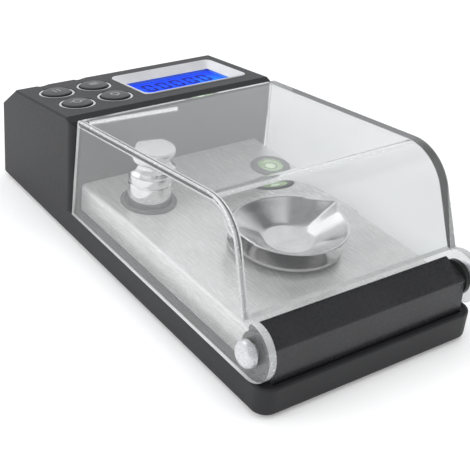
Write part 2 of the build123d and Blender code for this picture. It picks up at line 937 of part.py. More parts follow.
def lcd_backlight():
    width, height = glass_size()
    top = glass_top() + glass_thickness + seat_gap
    thickness = board_depth - seat_gap - top
    plate = Box(width - backlight_margin, height - backlight_margin, thickness)
    return on_panel(plate, bezel_center_x, bezel_center_v, top + thickness / 2)


def key_trim_rings():
    """The chrome rings sunk in the wells around the keys."""
    thickness = shell_wall - key_ring_drop
    ring = Cylinder(key_ring_radius, thickness) - Cylinder(key_radius + key_gap, thickness)
    ring = chamfer(ring.faces().sort_by(Axis.Z)[-1].edges(), key_ring_crest)
    depth = key_ring_drop + thickness / 2
    return [on_panel(ring, x, v, depth) for x, v in key_places().values()]


def key_solid(x, v):
    """One key: a crowned cap, a flange that keeps it in, and a stem to the mat."""
    flange_top = shell_wall + key_flange_drop
    cap = Pos(0, 0, -flange_top) * extrude(Circle(key_radius), flange_top + key_proud)
    cap = chamfer(cap.faces().sort_by(Axis.Z)[-1].edges(), key_edge)
    crown_radius = (key_radius**2 + key_crown_rise**2) / (2 * key_crown_rise)
    cap &= Pos(0, 0, key_proud - crown_radius) * Sphere(crown_radius)
    flange = Cylinder(key_radius + key_flange, key_flange_thickness)
    cap += Pos(0, 0, -flange_top - key_flange_thickness / 2) * flange
    stem_height = key_stem_bottom - flange_top
    stem = Box(key_stem_width, key_stem_width, stem_height)
    cap += Pos(0, 0, -flange_top - stem_height / 2) * stem
    return on_panel(cap, x, v)


def key_mat():
    """The silicone mat with a dome under each key."""
    low_v = board_post_start_v + board_post_radius + mat_post_gap
    high_v = board_post_end_v - board_post_radius - mat_post_gap
    low_x = key_column_x - mat_margin
    high_x = key_column_x + key_pitch_x + mat_margin
    sheet = Box(high_x - low_x, high_v - low_v, mat_sheet)
    depth = board_depth - seat_gap - mat_sheet / 2
    mat = on_panel(sheet, (low_x + high_x) / 2, (low_v + high_v) / 2, depth)
    dome_top = key_stem_bottom + key_travel + 2 * seat_gap
    dome_height = board_depth - mat_sheet - dome_top
    for x, v in key_places().values():
        dome = Cone(dome_radius, dome_top_radius, dome_height)
        mat += on_panel(dome, x, v, dome_top + dome_height / 2)
    return mat


def main_board():
    width = 2 * board_half_width
    height = board_end_v - board_start_v
    board = Box(width, height, board_thickness)
    depth = board_depth + board_thickness / 2
    board = on_panel(board, 0, (board_start_v + board_end_v) / 2, depth)
    for x, v in board_posts():
        hole = Cylinder(board_screw_radius + screw_hole_gap, board_thickness + overshoot)
        board -= on_panel(hole, x, v, depth)
    return board


def board_parts():
    """Chips and connectors under the board."""
    top = board_depth + board_thickness + seat_gap
    middle = (board_start_v + board_end_v) / 2
    parts = []
    for x, side in zip(chip_x, chip_sides):
        thickness = plug_thickness if x == max(chip_x) else chip_thickness
        part = Box(side, chip_length, thickness)
        parts.append(on_panel(part, x, middle, top + thickness / 2))
    return parts


def board_screws():
    """Four small screws that hold the board to the posts under the panel."""
    head = 2 * board_screw_radius
    reach = board_thickness + board_screw_reach
    piece = screw(0, reach, board_screw_radius - seat_gap, head, head / 2)
    depth = board_depth + board_thickness + seat_gap + head / 2
    return [on_panel(piece, x, v, depth) for x, v in board_posts()]


def cell_screw_distances():
    middle = cell_start + cell_pad_length / 2
    return (middle - cell_screw_pitch / 2, middle + cell_screw_pitch / 2)


def load_cell():
    """The aluminium beam with its two holes joined by a slot, fixed at the head's side."""
    half = cell_width / 2
    beam = block(-half, half, cell_start, cell_end, cell_bottom + seat_gap, cell_top)
    middle = (cell_start + cell_pad_length + cell_end) / 2
    z = (cell_bottom + cell_top) / 2
    for side in (-1, 1):
        hole = Rot(0, 90, 0) * Cylinder(cell_hole_radius, 2 * cell_width)
        beam -= Pos(0, y_at(middle + side * cell_hole_pitch / 2), z) * hole
    beam -= Pos(0, y_at(middle), z) * Box(2 * cell_width, cell_hole_pitch, cell_slot_height)
    for distance in cell_screw_distances():
        beam -= rod(0, distance, 0, cell_top + overshoot, cell_screw_radius + seat_gap)
    return beam


def load_cell_screws():
    piece = screw(
        foot_height + seat_gap,
        cell_top - foot_height - cell_screw_head_height - cell_screw_tip_gap,
        cell_screw_radius,
        cell_screw_head_radius,
        cell_screw_head_height - seat_gap,
    )
    return [Pos(0, y_at(distance), 0) * piece for distance in cell_screw_distances()]


def batteries():
    """Two AAA cells that lie across the head, one each way round."""
    cells = []
    for index, side in enumerate((-1, 1)):
        body = Cylinder(battery_diameter / 2, battery_length - battery_cap_length)
        body = chamfer(body.edges().filter_by(GeomType.CIRCLE), battery_edge)
        body = Pos(0, 0, -battery_cap_length / 2) * body
        body += Pos(0, 0, (battery_length - battery_cap_length) / 2) * Cylinder(
            battery_cap_radius, battery_cap_length
        )
        place = Pos(0, y_at(bay_first + index * battery_pitch), battery_z)
        cells.append(place * Rot(0, 90 * side, 0) * body)
    return cells


def battery_contacts():
    """Bent leaf contacts at both ends of each cell."""
    leaves = []
    gap = bay_half_width - battery_length / 2
    for side in (-1, 1):
        for index in (0, 1):
            distance = bay_first + index * battery_pitch
            wall_x = side * (bay_half_width - seat_gap - contact_sheet / 2)
            leaf = Box(contact_sheet, contact_width, contact_height)
            leaf = Pos(wall_x, y_at(distance), battery_z) * leaf
            bow_x = side * (bay_half_width - gap / 2)
            bow = Box(gap - 4 * seat_gap, contact_width / 2, contact_sheet)
            leaves.append(leaf + Pos(bow_x, y_at(distance), battery_z) * bow)
    return leaves


def battery_door():
    """The door under the battery bay, with side tongues and grip ribs."""
    end = bay_end - bay_margin
    low = foot_height
    top = foot_height + door_thickness
    door = block(-door_half_width, door_half_width, 0, end, low, top)
    reach = door_half_width + door_tongue
    door += block(-reach, reach, 0, end, top - door_tongue_thickness, top)
    lip = door.edges().filter_by(Axis.X).group_by(Axis.Z)[0].sort_by(Axis.Y)[0]
    door = fillet(lip, plinth_foot_radius)
    for index in range(door_rib_count):
        start = bay_start + index * door_rib_pitch
        end_rib = start + door_rib_width
        half = door_half_width / 2
        door -= block(-half, half, start, end_rib, 0, low + door_rib_depth)
    return door


def build():
    pieces = {
        "upper_housing": upper_housing(),
        "base_plate": base_plate(),
        "rubber_feet": rubber_feet(),
        "case_screws": case_screws(),
        "hinge_bar": hinge_bar(),
        "hinge_bar_screws": hinge_bar_screws(),
        "hinge_pin_left": hinge_pin(-1),
        "hinge_pin_right": hinge_pin(1),
        "hinge_spacers": hinge_spacers(),
        "draft_cover": draft_cover(),
        "deck_plate": deck_plate(),
        "load_platform": load_platform(),
        "weighing_pan": weighing_pan(),
        "calibration_weight": calibration_weight(),
        "weight_seat": weight_seat(),
        "level_body": level_body(),
        "level_liquid": level_liquid(),
        "level_lens": level_lens(),
        "lcd_bezel": lcd_bezel(),
        "lcd_window": lcd_window(),
        "lcd_glass": lcd_glass(),
        "lcd_backlight": lcd_backlight(),
        "key_trim_rings": key_trim_rings(),
        "key_mat": key_mat(),
        "main_board": main_board(),
        "board_parts": board_parts(),
        "board_screws": board_screws(),
        "load_cell": load_cell(),
        "load_cell_screws": load_cell_screws(),
        "batteries": batteries(),
        "battery_contacts": battery_contacts(),
        "battery_door": battery_door(),
    }
    for name, (x, v) in key_places().items():
        pieces[name] = key_solid(x, v)
    return pieces


os.makedirs("parts", exist_ok=True)
for name, shape in build().items():
    pieces = shape if isinstance(shape, list) else [shape]
    solids = [solid for piece in pieces for solid in piece.solids()]
    whole = solids[0] if len(solids) == 1 else Compound(children=solids)
    export_step(whole, f"parts/{name}.step")
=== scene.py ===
import json
import math

import bmesh
import bpy
from mathutils import Matrix, Vector


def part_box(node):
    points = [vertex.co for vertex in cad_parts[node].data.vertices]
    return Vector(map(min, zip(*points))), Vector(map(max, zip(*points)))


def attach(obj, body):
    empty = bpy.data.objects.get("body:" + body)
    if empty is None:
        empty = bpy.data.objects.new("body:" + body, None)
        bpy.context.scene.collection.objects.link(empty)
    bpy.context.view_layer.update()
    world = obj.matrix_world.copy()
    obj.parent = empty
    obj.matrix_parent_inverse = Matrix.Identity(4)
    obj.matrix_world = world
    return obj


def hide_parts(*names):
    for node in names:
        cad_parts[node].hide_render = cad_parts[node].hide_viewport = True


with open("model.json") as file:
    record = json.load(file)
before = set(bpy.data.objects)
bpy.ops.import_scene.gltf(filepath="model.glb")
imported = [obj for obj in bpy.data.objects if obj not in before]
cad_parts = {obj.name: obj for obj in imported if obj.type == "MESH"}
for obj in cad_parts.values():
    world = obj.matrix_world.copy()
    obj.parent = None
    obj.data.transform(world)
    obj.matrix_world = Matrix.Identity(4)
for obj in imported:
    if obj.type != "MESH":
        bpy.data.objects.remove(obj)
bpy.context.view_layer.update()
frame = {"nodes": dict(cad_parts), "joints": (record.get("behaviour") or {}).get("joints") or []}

# Base plate. The bottom cover is black ABS from the same tool shop as the housing, but
# left with the coarser grain of parts nobody sees. It is held by four case screws.
mm = 0.001


def new_finish(name):
    """A new material, its shader and the piece's own coordinates."""
    finish = bpy.data.materials.new(name)
    finish.use_nodes = True
    shader = finish.node_tree.nodes["Principled BSDF"]
    place = finish.node_tree.nodes.new("ShaderNodeTexCoord").outputs["Object"]
    return finish, shader, place


def node(owner, kind, inputs=(), **settings):
    """A node with its settings, and values or outputs put on its sockets by name."""
    new = owner.node_tree.nodes.new("ShaderNode" + kind)
    for key, value in settings.items():
        setattr(new, key, value)
    for key, value in dict(inputs).items():
        if isinstance(value, bpy.types.NodeSocket):
            owner.node_tree.links.new(value, new.inputs[key])
        else:
            new.inputs[key].default_value = value
    return new


def drawn_out(finish, place, scale):
    """Coordinates that make a pattern longer along an axis whose scale is under 1."""
    return node(finish, "Mapping", {"Vector": place, "Scale": scale}).outputs[0]


def speckle(finish, place, size, detail=2.0, harsh=0.5):
    """Noise whose spots are about so many millimetres wide."""
    sizes = {"Vector": place, "Scale": 1 / (size * mm), "Detail": detail, "Roughness": harsh}
    return node(finish, "TexNoise", sizes).outputs["Fac"]


def spread(finish, value, low, high, start=0.3, end=0.7):
    """A value stretched from start..end to low..high."""
    span = {"Value": value, "From Min": start, "From Max": end, "To Min": low, "To Max": high}
    return node(finish, "MapRange", span).outputs[0]


def blended(finish, share, first, second):
    """A colour between two others."""
    colours = {0: share, 6: first, 7: second}
    return node(finish, "Mix", colours, data_type="RGBA").outputs[2]


def tone(colour, factor):
    """A darker or lighter tone of a colour, as a socket takes it."""
    return [min(part * factor, 1.0) for part in colour] + [1.0]


def mottled(finish, cloud, colour, dark, light, edges, edge_sheen_tone):
    """A colour that drifts from dark to light, with another tone painted along the edges, lighter as a
    highlight.
    """
    drift = blended(finish, spread(finish, cloud, 0, 1), tone(colour, dark), tone(colour, light))
    return blended(finish, edges, drift, tone(colour, edge_sheen_tone))


def edge_sheen_mask(finish, width):
    """1 along the outer edges, where a highlight is painted, 0 on the flats."""
    full_sheen_turn, no_sheen_turn = 0.78, 0.99
    soft = node(finish, "Bevel", {"Radius": width * mm}, samples=6)
    flat = node(finish, "NewGeometry").outputs["Normal"]
    turn = node(finish, "VectorMath", {0: soft.outputs[0], 1: flat}, operation="DOT_PRODUCT")
    return spread(finish, turn.outputs["Value"], 1.0, 0.0, full_sheen_turn, no_sheen_turn)


def raised(finish, *reliefs):
    """A bump from several patterns, each with its own depth in millimetres."""
    normal = None
    for pattern, depth in reliefs:
        inputs = {"Height": pattern, "Distance": depth * mm, "Strength": 1.0}
        if normal:
            inputs["Normal"] = normal
        normal = node(finish, "Bump", inputs).outputs[0]
    return normal


def moulded(name, colour, grain=0.22, depth=0.012, matt=0.42, edge_sheen_tone=1.35, level=0.5):
    """Moulded plastic: a fine even grain, faint flow marks, and a painted highlight along the edges, which
    are a little glossier too.
    """
    flow_size, flow_depth, dust_size, edge_width, edge_polish = 14, 0.02, 1.1, 0.5, -0.1
    finish, shader, place = new_finish(name)
    link = finish.node_tree.links.new
    pits = speckle(finish, place, grain, 2.0, 0.6)
    flow = speckle(finish, drawn_out(finish, place, (1, 0.35, 1)), flow_size, 3.0)
    dust = speckle(finish, place, dust_size, 4.0, 0.7)
    edges = edge_sheen_mask(finish, edge_width)
    # Along the edges the colour is painted lighter, as a highlight.
    link(mottled(finish, flow, colour, 0.9, 1.1, edges, edge_sheen_tone), shader.inputs["Base Color"])
    even = spread(finish, dust, matt - 0.04, matt + 0.05)
    less = node(finish, "Math", {0: edges, 1: edge_polish}, operation="MULTIPLY").outputs[0]
    rough = node(finish, "Math", {0: even, 1: less}, operation="ADD").outputs[0]
    link(rough, shader.inputs["Roughness"])
    link(raised(finish, (pits, depth), (flow, flow_depth)), shader.inputs["Normal"])
    shader.inputs["Specular IOR Level"].default_value = level
    return finish


def dress(name, finish):
    """Gives a CAD node its finish."""
    part = frame["nodes"][name]
    part.data.materials.clear()
    part.data.materials.append(finish)


dress("base_plate", moulded("base_black", (0.025, 0.025, 0.027), grain=0.35, depth=0.03, matt=0.55))

# Rubber feet. Four soft black discs stuck in round recesses, with a dull, slightly cloudy
# skin and fine pores.


def rubber(name, colour, pore=0.3, matt=0.75):
    """Soft rubber: dull, slightly cloudy, with fine pores and a painted highlight along the edges."""
    pore_depth, bloom_size, edge_width, shine = 0.02, 5, 0.3, 0.35
    finish, shader, place = new_finish(name)
    link = finish.node_tree.links.new
    pores = speckle(finish, place, pore, 3.0, 0.7)
    bloom = speckle(finish, place, bloom_size, 3.0)
    edges = edge_sheen_mask(finish, edge_width)
    # Along the edges the colour is painted lighter, as a highlight.
    link(mottled(finish, bloom, colour, 0.85, 1.18, edges, 1.5), shader.inputs["Base Color"])
    link(spread(finish, pores, matt - 0.08, matt + 0.06), shader.inputs["Roughness"])
    link(raised(finish, (pores, pore_depth)), shader.inputs["Normal"])
    shader.inputs["Specular IOR Level"].default_value = shine
    return finish


dress("rubber_feet", rubber("foot_rubber", (0.022, 0.022, 0.022)))

# Case screws, bar screws, board screws and load cell screws. Plated steel with turning
# marks, each kind with its own plating.


def metal(name, colour, matt=0.3, blotch=3.0, line=(1, 1, 1), line_size=0.25, depth=0.004, bare=1.0,
          grain=0.18):
    """Bare or plated metal: fine lines, cloudy polish and edges painted brighter as a highlight."""
    edge_width = 0.25
    finish, shader, place = new_finish(name)
    link = finish.node_tree.links.new
    lines = speckle(finish, drawn_out(finish, place, line), line_size, 2.0, 0.6)
    cloud = speckle(finish, place, blotch, 3.0)
    edges = edge_sheen_mask(finish, edge_width)
    # Along the edges the colour is painted lighter, as a highlight.
    link(mottled(finish, cloud, colour, 0.93, 1.05, edges, 1.1), shader.inputs["Base Color"])
    link(spread(finish, lines, matt * (1 - grain), matt * (1 + grain)), shader.inputs["Roughness"])
    link(raised(finish, (lines, depth)), shader.inputs["Normal"])
    shader.inputs["Metallic"].default_value = bare
    return finish


dress("case_screws", metal("case_screw_zinc", (0.50, 0.50, 0.52), matt=0.35))
dress("hinge_bar_screws", metal("bar_screw_zinc", (0.52, 0.52, 0.52), matt=0.32))
dress("board_screws", metal("board_screw_nickel", (0.62, 0.60, 0.56)))
dress("load_cell_screws", metal("cell_screw_steel", (0.48, 0.48, 0.50), matt=0.28))

# Batteries, their sprung contacts and the door under them. Plain sleeves without print,
# nickel leaves, and a door moulded in the housing's black.
dress("batteries", moulded("battery_sleeve", (0.10, 0.105, 0.12), grain=0.5, depth=0.004, matt=0.3))
dress("battery_contacts", metal("contact_nickel", (0.64, 0.61, 0.55), matt=0.25))
dress("battery_door", moulded("door_black", (0.031, 0.031, 0.033), grain=0.3, depth=0.025, matt=0.5))

# Load cell. An aluminium beam milled on all sides, with the cutter's lines along it; one
# end is screwed to the base and the other carries the platform.
dress("load_cell", metal("cell_aluminium", (0.74, 0.75, 0.76), matt=0.33, line=(1, 0.05, 1), depth=0.01))

# Main board with its chips, the silicone key mat and the display's light box. They lie
# one over another on posts, all under the panel.
dress("main_board", moulded("board_green", (0.02, 0.16, 0.06), grain=0.9, depth=0.01, matt=0.3))
dress("board_parts", moulded("chip_epoxy", (0.02, 0.02, 0.021), grain=0.12, depth=0.01, matt=0.5))
dress("key_mat", rubber("mat_silicone", (0.36, 0.36, 0.37), pore=0.5, matt=0.6))
dress("lcd_backlight", moulded("light_box_white", (0.80, 0.80, 0.78), grain=0.4, depth=0.01, matt=0.4))

# Housing. Black ABS with a satin spark-eroded skin on the top, the sloped ends and the
# plinth. It is one moulding, so one finish runs over all of it.
housing_black = (0.016, 0.016, 0.0175)
dress("upper_housing", moulded("housing_black", housing_black, grain=0.24, depth=0.014, level=0.4))

# Display. The lit glass is deep blue and a little paler in one corner, under a clear
# window. The figures are dark blue and lie on top of it.
panel_start_y, panel_start_z = -63.2, 34.9
press = next(joint for joint in frame["joints"] if joint["name"] == "key_power_press")
panel_slope = math.asin(press["axis"][1])
panel_start = Matrix.Translation((0, panel_start_y * mm, panel_start_z * mm))
panel = panel_start @ Matrix.Rotation(panel_slope, 4, "X")


def on_panel(x, v, height=0.0):
    """The place so many millimetres across the panel, up its slope and out of it."""
    return panel @ Matrix.Translation((x * mm, v * mm, height * mm))


def middle(name):
    """The middle of a CAD node's box."""
    low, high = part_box(name)
    return (Vector(low) + Vector(high)) / 2


def made(name, mesh, *finishes, sharp=32):
    """Turns a worked mesh into a piece of the object."""
    data = bpy.data.meshes.new(name)
    mesh.to_mesh(data)
    mesh.free()
    for finish in finishes:
        data.materials.append(finish)
    data.shade_smooth()
    data.set_sharp_from_angle(angle=math.radians(sharp))
    piece = bpy.data.objects.new(name, data)
    bpy.context.scene.collection.objects.link(piece)
    return piece


glass_place = (panel.inverted() @ middle("lcd_glass")) / mm


def lit_display(name):
    """Blue backlit glass, paler toward the lamp in one corner."""
    deep_blue, pale_blue = (0.001, 0.062, 0.88, 1), (0.01, 0.34, 0.98, 1)
    lamp_aside, lamp_up, glow_start, glow_end = -13.5, 5.5, 0.5, 11
    finish, shader, place = new_finish(name)
    link = finish.node_tree.links.new
    lamp = on_panel(glass_place.x + lamp_aside, glass_place.y + lamp_up).to_translation()
    from_lamp = node(finish, "VectorMath", {0: place, 1: tuple(lamp)}, operation="DISTANCE")
    glow = spread(finish, from_lamp.outputs["Value"], 1.0, 0.0, glow_start * mm, glow_end * mm)
    colour = blended(finish, glow, deep_blue, pale_blue)
    link(colour, shader.inputs["Base Color"])
    link(colour, shader.inputs["Emission Color"])
    link(spread(finish, speckle(finish, place, 4), 0.2, 0.3), shader.inputs["Roughness"])
    grain = spread(finish, speckle(finish, place, 0.3), 0.96, 1.04)
    link(raised(finish, (grain, 0.002)), shader.inputs["Normal"])
    shader.inputs["Emission Strength"].default_value = 0.75
    shader.inputs["Specular IOR Level"].default_value = 0.08
    return finish


dress("lcd_glass", lit_display("display_blue"))
film = 0.03


def add_bar(mesh, x, v, length, width, upright=False):
    """A thin flat bar with pointed ends, as in a figure or a sign."""
    turn = Matrix.Rotation(math.radians(90 if upright else 0), 4, "Z")
    stretch = Matrix.Diagonal((length * mm, width * mm, film * mm, 1))
    place = Matrix.Translation((x * mm, v * mm, 0))
    bar = bmesh.ops.create_cube(mesh, size=1, matrix=place @ turn @ stretch)["verts"]
    edges = {edge for corner in bar for edge in corner.link_edges}
    ends = [edge for edge in edges if abs(edge.verts[0].co.z - edge.verts[1].co.z) > film / 2 * mm]
    point = {"offset": width * 0.45 * mm, "segments": 1, "profile": 0.5, "affect": "EDGES", "material": -1}
    bmesh.ops.bevel(mesh, geom=ends, **point)


figure_count = 5
figure_height, figure_width, figure_pitch, figure_stroke = 7.2, 3.9, 5.35, 1.15
figures_x, figures_v, figures_height = -0.45, -1.9, -3.0
point_width, point_height, point_lift = 0.9, 0.85, 0.45
level_gap, upright_gap = 0.5, 0.3
mesh = bmesh.new()
for index in range(figure_count):
    x = (index - (figure_count - 1) / 2) * figure_pitch
    for side in (-1, 1):
        bar_v = side * (figure_height - figure_stroke) / 2
        add_bar(mesh, x, bar_v, figure_width - level_gap, figure_stroke)
        bar_x = x + side * (figure_width - figure_stroke) / 2
        for half in (-1, 1):
            bar_v = half * figure_height / 4
            add_bar(mesh, bar_x, bar_v, figure_height / 2 - upright_gap, figure_stroke, upright=True)
point_x = -1.5 * figure_pitch
add_bar(mesh, point_x, point_lift - figure_height / 2, point_width, point_height)
figures_place = on_panel(glass_place.x + figures_x, glass_place.y + figures_v, figures_height)
bmesh.ops.transform(mesh, verts=mesh.verts, matrix=figures_place)
ink = {"grain": 0.3, "depth": 0.001, "matt": 0.5, "edge_sheen_tone": 1.0, "level": 0.04}
figures = made("figures", mesh, moulded("figure_blue", (0.0005, 0.002, 0.30), **ink))
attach(figures, "root")


def clear(name, tint, index=1.49, milky=0.0):
    """Clear moulded plastic. Lamp light goes straight through it."""
    tint_size, polish_size, sink_size, sink_depth = 18, 2.5, 9, 0.0003
    shadow = (0.95, 0.96, 0.95, 1)
    finish, shader, place = new_finish(name)
    link = finish.node_tree.links.new
    drift = spread(finish, speckle(finish, place, tint_size), 0, 1)
    link(blended(finish, drift, tone(tint, 0.995), tone(tint, 1)), shader.inputs["Base Color"])
    link(spread(finish, speckle(finish, place, polish_size, 3.0), 0, 0.012), shader.inputs["Roughness"])
    sinks = speckle(finish, place, sink_size, 1.0)
    link(raised(finish, (sinks, sink_depth)), shader.inputs["Normal"])
    shader.inputs["IOR"].default_value = index
    shader.inputs["Transmission Weight"].default_value = 1.0 - milky
    path = node(finish, "LightPath").outputs
    lamp_light = {0: path["Is Shadow Ray"], 1: path["Is Diffuse Ray"]}
    lamp = node(finish, "Math", lamp_light, operation="MAXIMUM")
    through = node(finish, "BsdfTransparent", {"Color": shadow})
    mix = node(finish, "MixShader", {0: lamp.outputs[0], 1: shader.outputs[0], 2: through.outputs[0]})
    link(mix.outputs[0], finish.node_tree.nodes["Material Output"].inputs["Surface"])
    return finish


dress("lcd_window", clear("window_clear", (0.22, 0.62, 1.0), index=1.05))

# Display frame. Silver-painted ABS pressed in the panel; its four sides slope down to
# the window and the paint has a very fine metal flake.


def painted(name, colour):
    """Silver paint: fine flakes that glitter a little, under a thin lacquer, with a highlight painted
    along the edges.
    """
    flake_size, flake_depth, cloud_size, edge_width, matt = 0.12, 0.003, 6, 0.3, 0.38
    finish, shader, place = new_finish(name)
    link = finish.node_tree.links.new
    flakes = speckle(finish, place, flake_size, 1.0, 0.8)
    cloud = speckle(finish, place, cloud_size, 2.0)
    edges = edge_sheen_mask(finish, edge_width)
    # Along the edges the colour is painted lighter, as a highlight.
    link(mottled(finish, cloud, colour, 0.94, 1.05, edges, 1.12), shader.inputs["Base Color"])
    link(spread(finish, flakes, matt - 0.05, matt + 0.06), shader.inputs["Roughness"])
    link(raised(finish, (flakes, flake_depth)), shader.inputs["Normal"])
    shader.inputs["Metallic"].default_value = 0.35
    shader.inputs["Coat Weight"].default_value = 0.2
    return finish


dress("lcd_bezel", painted("frame_silver", (0.64, 0.645, 0.665)))

# Keys. Round black caps moulded with a shallow crown, each on a flange and a stem that
# stands on the mat's dome.


def spun(outline, steps):
    """A round body about the Z axis from (radius, height) points in millimetres."""
    mesh = bmesh.new()
    points = [mesh.verts.new((radius * mm, 0, height * mm)) for radius, height in outline]
    lines = [mesh.edges.new(pair) for pair in zip(points, points[1:])]
    turn = {"cent": (0, 0, 0), "axis": (0, 0, 1), "angle": math.tau}
    bmesh.ops.spin(mesh, geom=points + lines, steps=steps, use_merge=True, **turn)
    bmesh.ops.remove_doubles(mesh, verts=mesh.verts, dist=0.0005 * mm)
    bmesh.ops.recalc_face_normals(mesh, faces=mesh.faces)
    return mesh


first_column, first_row, key_pitch_x, key_pitch_v = 14.6, 9.89, 13.3, 13.6
key_sites = {
    "key_power": (first_column, first_row + key_pitch_v),
    "key_tare": (first_column + key_pitch_x, first_row + key_pitch_v),
    "key_units": (first_column, first_row),
    "key_count": (first_column + key_pitch_x, first_row),
}
cap_radius, cap_proud, cap_rise, cap_round = 4.55, 0.62, 0.25, 0.3
flange_radius, flange_top, flange_bottom = 5.15, -2.15, -3.15
stem_radius, stem_bottom = 2.0, -4.2
cap_black = (0.023, 0.023, 0.0245)


def crown(radius):
    """The height of a cap's crown so far from its middle."""
    return cap_proud - cap_rise * (radius / cap_radius) ** 2


shoulder = cap_radius - cap_round
cap_outline = [(radius, crown(radius)) for radius in (0, 1.0, 2.0, 3.0, 3.7, shoulder)]
for step in range(1, 5):
    turn = math.radians(90 * step / 4)
    out, down = cap_round * math.sin(turn), cap_round * (1 - math.cos(turn))
    cap_outline.append((shoulder + out, crown(shoulder) - down))
cap_outline += [(cap_radius, flange_top), (flange_radius, flange_top), (flange_radius, flange_bottom)]
cap_outline += [(stem_radius, flange_bottom), (stem_radius, stem_bottom), (0, stem_bottom)]
for name, (x, v) in key_sites.items():
    mesh = spun(cap_outline, 64)
    bmesh.ops.transform(mesh, verts=mesh.verts, matrix=on_panel(x, v))
    finish = moulded(name + "_black", cap_black, grain=0.3, depth=0.006, matt=0.3)
    cap = made("cap_" + name, mesh, finish, sharp=50)
    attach(cap, name)
    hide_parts(name)

# Key signs. Plain signs printed in grey on the crowns: a ring with a stroke, a ring
# between two dashes, three bars, and four squares.
sign_radius, sign_stroke = 1.5, 0.42
stroke_length, dash_length, dash_reach = 1.5, 1.1, 2.2
bar_length, bar_pitch = 3.0, 0.85
square_side, square_reach = 0.95, 0.75
sign_grey = moulded("sign_grey", (0.36, 0.36, 0.37), grain=0.2, depth=0.001, matt=0.45, edge_sheen_tone=1.0)


def add_ring(mesh):
    """A flat printed circle that faces out of the panel."""
    inside = (sign_radius - sign_stroke) * mm
    outer = bmesh.ops.create_circle(mesh, cap_ends=False, segments=40, radius=sign_radius * mm)["verts"]
    inner = bmesh.ops.create_circle(mesh, cap_ends=False, segments=40, radius=inside)["verts"]
    rims = {edge for corner in outer + inner for edge in corner.link_edges}
    faces = bmesh.ops.bridge_loops(mesh, edges=list(rims))["faces"]
    mesh.normal_update()
    bmesh.ops.reverse_faces(mesh, faces=[face for face in faces if face.normal.z < 0])


def draw_sign(mesh, name):
    """The sign of one key, about the middle of its crown."""
    sides = (-1, 1)
    if name in ("key_power", "key_tare"):
        add_ring(mesh)
    if name == "key_power":
        add_bar(mesh, 0, sign_radius, stroke_length, sign_stroke, upright=True)
    if name == "key_tare":
        for side in sides:
            add_bar(mesh, side * dash_reach, 0, dash_length, sign_stroke)
    if name == "key_units":
        for row in (-1, 0, 1):
            add_bar(mesh, 0, row * bar_pitch, bar_length, sign_stroke)
    if name == "key_count":
        for column in sides:
            for row in sides:
                add_bar(mesh, column * square_reach, row * square_reach, square_side, square_side)


for name, (x, v) in key_sites.items():
    mesh = bmesh.new()
    draw_sign(mesh, name)
    bmesh.ops.transform(mesh, verts=mesh.verts, matrix=on_panel(x, v, cap_proud))
    sign = made("sign_" + name, mesh, sign_grey)
    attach(sign, name)

# Key rings. A chrome-plated ring lies sunk in the well around every key, rounded at both
# of its upper edges.
ring_radius, ring_bore, ring_top, ring_bottom = 5.7, 4.8, -0.06, -2.0
ring_rounding = [(0, 0.3), (0.1, 0.08), (0.32, 0)]
ring_foot = (ring_bore, ring_bottom)
inner_rim = [(ring_bore + aside, ring_top - down) for aside, down in ring_rounding]
outer_rim = [(ring_radius - aside, ring_top - down) for aside, down in reversed(ring_rounding)]
mesh = spun([ring_foot] + inner_rim + outer_rim + [(ring_radius, ring_bottom), ring_foot], 72)
first_ring = mesh.verts[:] + mesh.edges[:] + mesh.faces[:]
for x, v in key_sites.values():
    copy = bmesh.ops.duplicate(mesh, geom=first_ring)["geom"]
    corners = [part for part in copy if isinstance(part, bmesh.types.BMVert)]
    bmesh.ops.transform(mesh, verts=corners, matrix=on_panel(x, v))
spare = [part for part in first_ring if isinstance(part, bmesh.types.BMVert)]
bmesh.ops.delete(mesh, geom=spare, context="VERTS")
rings = made("key_rings", mesh, metal("ring_chrome", (0.78, 0.79, 0.81), matt=0.07, depth=0.0004))
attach(rings, "root")
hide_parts("key_trim_rings")

# Deck. Stainless sheet brushed along its length, then folded down over the block; the
# brushing is fine enough to still mirror what stands on it.
brushing = {"line": (1, 0.02, 1), "line_size": 0.08, "depth": 0.00004, "grain": 0.03}
dress("deck_plate", metal("deck_steel", (0.71, 0.705, 0.70), matt=0.27, blotch=9, bare=0.55, **brushing))

# Bubble level. A grey cup with a thin flange, pale green liquid with its bubble, and a
# clear lens with a black circle printed on its underside.
dress("level_body", moulded("level_grey", (0.070, 0.077, 0.080), grain=0.2, depth=0.004, matt=0.35))
level_green = moulded("level_green", (0.38, 0.58, 0.26), grain=2.0, depth=0.001, matt=0.15, edge_sheen_tone=1.0)
dress("level_liquid", level_green)
dress("level_lens", clear("lens_clear", (0.96, 0.99, 0.95)))
liquid_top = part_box("level_liquid")[1][2]
level_place = Vector((*middle("level_liquid").xy, liquid_top))
mark_low, mark_edge, mark_high, mark_bevel = 0.01, 0.02, 0.04, 0.05


def add_mark(name, inner, outer, finish):
    """A thin round mark between the liquid and the lens."""
    flat = outer - mark_bevel
    under, over = [(inner, mark_low), (flat, mark_low)], [(flat, mark_high), (inner, mark_high)]
    mesh = spun(under + [(outer, mark_edge)] + over, 64)
    bmesh.ops.translate(mesh, verts=mesh.verts, vec=level_place)
    mark = made(name, mesh, finish)
    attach(mark, "root")


circle_black = moulded("circle_black", (0.01, 0.012, 0.01), grain=0.2, depth=0.001, matt=0.4)
bubble_pale = moulded("bubble_pale", (0.72, 0.86, 0.62), grain=1.5, depth=0.001, matt=0.12, edge_sheen_tone=1.1)
add_mark("level_circle", 1.95, 2.3, circle_black)
add_mark("bubble", 0, 1.5, bubble_pale)

# Weight seat. A soft grey rubber cup pressed in the deck's hole, with a flange that lies
# on the steel.
dress("weight_seat", rubber("seat_rubber", (0.050, 0.055, 0.055), pore=0.25, matt=0.6))

